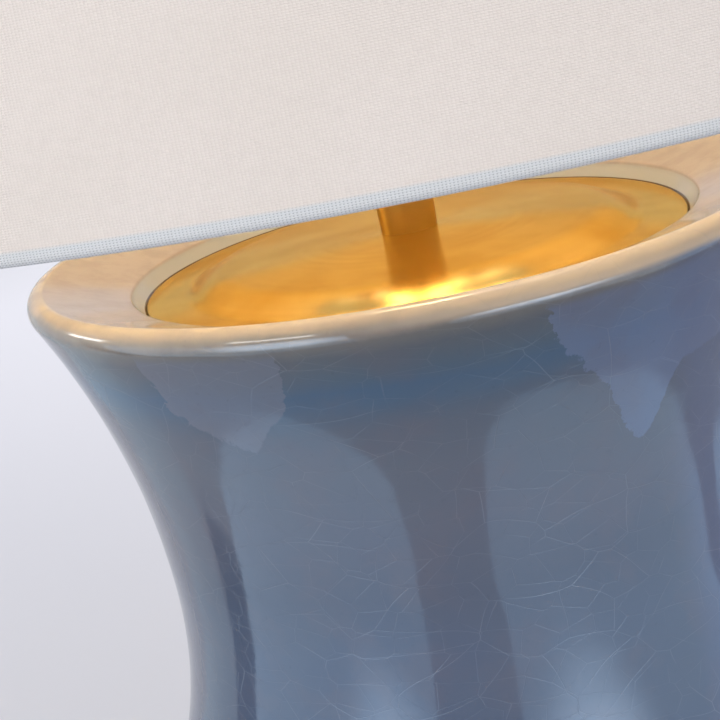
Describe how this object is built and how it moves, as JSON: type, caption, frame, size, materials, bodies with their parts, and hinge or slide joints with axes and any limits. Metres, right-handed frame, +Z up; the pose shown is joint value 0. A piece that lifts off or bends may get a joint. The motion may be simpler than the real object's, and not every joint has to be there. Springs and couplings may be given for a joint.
{
  "type": "table lamp",
  "caption": "Ceramic vase table lamp with flared rim, inset brass cap, brass neck and harp, and an off-white linen drum shade on a spider with a ball finial.",
  "frame": {"origin": "centre of the foot, on the table that the lamp stands on", "axes": "+Z up along the lamp's axis; -Y is the front, where the switch knob points; the harp stands in the XZ plane; +Y is the back, where the cord inlet is"},
  "size_m": [0.412, 0.4119, 0.748],
  "materials": {
    "crackle_glaze": "glossy blue-grey glaze over stoneware, finely crackled, breaking warm cream on the lip",
    "felt": "pressed wool felt",
    "polished_brass": "spun and polished, softly rippled",
    "satin_brass": "turned, satin",
    "harp_brass": "drawn wire and stamped strip, satin",
    "thin_brass": "thin stamped sheet",
    "terminal_brass": "turned screws",
    "zinc_steel": "zinc plated",
    "ring_steel": "white coated wire",
    "spider_steel": "brass plated wire and washer",
    "black_rubber": "moulded",
    "card": "pressed insulating card",
    "phenolic": "moulded black phenolic",
    "linen": "off-white plain-weave linen, laminated",
    "shade_liner": "white translucent sheet",
    "opal_glass": "opal coated, lit warm",
    "bulb_aluminium": "rolled thin sheet",
    "bulb_insulator": "fused black insulator",
    "solder": "solder"
  },
  "bodies": {
    "lamp_base": {"ceramic_body": "crackle_glaze", "felt_ring": "felt", "brass_cap": "polished_brass", "neck_tube": "satin_brass", "lamp_pipe": "zinc_steel", "base_plate": "zinc_steel", "base_washer": "zinc_steel", "base_nut": "zinc_steel", "neck_nut": "satin_brass", "cord_grommet": "black_rubber", "harp_saddle": "harp_brass", "harp": "harp_brass", "harp_stud": "harp_brass", "socket_cap": "satin_brass", "socket_shell": "satin_brass", "socket_insulator": "card", "switch_body": "phenolic", "screw_shell": "thin_brass", "centre_contact": "thin_brass", "terminal_screws": "terminal_brass"},
    "shade": {"shade_linen": "linen", "shade_liner": "shade_liner", "shade_ring_bottom": "ring_steel", "shade_ring_top": "ring_steel", "spider_hub": "spider_steel", "spider_arms": "spider_steel"},
    "finial": {"finial": "polished_brass"},
    "knob": {"switch_stem": "zinc_steel", "switch_knob": "phenolic"},
    "bulb": {"bulb_glass": "opal_glass", "bulb_base": "bulb_aluminium", "bulb_insulator": "bulb_insulator", "bulb_tip": "solder"},
    "ferrule_left": {"harp_ferrule_left": "harp_brass"},
    "ferrule_right": {"harp_ferrule_right": "harp_brass"}
  },
  "joints": [
    {"name": "shade_turn", "type": "hinge", "parent": "lamp_base", "child": "shade", "pos_m": [0, 0, 0.717], "axis": [0, 0, 1], "continuous": true},
    {"name": "finial_turn", "type": "hinge", "parent": "lamp_base", "child": "finial", "pos_m": [0, 0, 0.7188], "axis": [0, 0, 1], "range_deg": [0, 3600]},
    {"name": "knob_turn", "type": "hinge", "parent": "lamp_base", "child": "knob", "pos_m": [0, -0.02, 0.4996], "axis": [0, -1, 0], "continuous": true},
    {"name": "bulb_turn", "type": "hinge", "parent": "lamp_base", "child": "bulb", "pos_m": [0, 0, 0.52], "axis": [0, 0, 1], "range_deg": [0, 1440]},
    {"name": "ferrule_left_lift", "type": "slide", "parent": "lamp_base", "child": "ferrule_left", "axis": [0, 0, 1], "range_m": [0, 0.014]},
    {"name": "ferrule_right_lift", "type": "slide", "parent": "lamp_base", "child": "ferrule_right", "axis": [0, 0, 1], "range_m": [0, 0.014]}
  ]
}
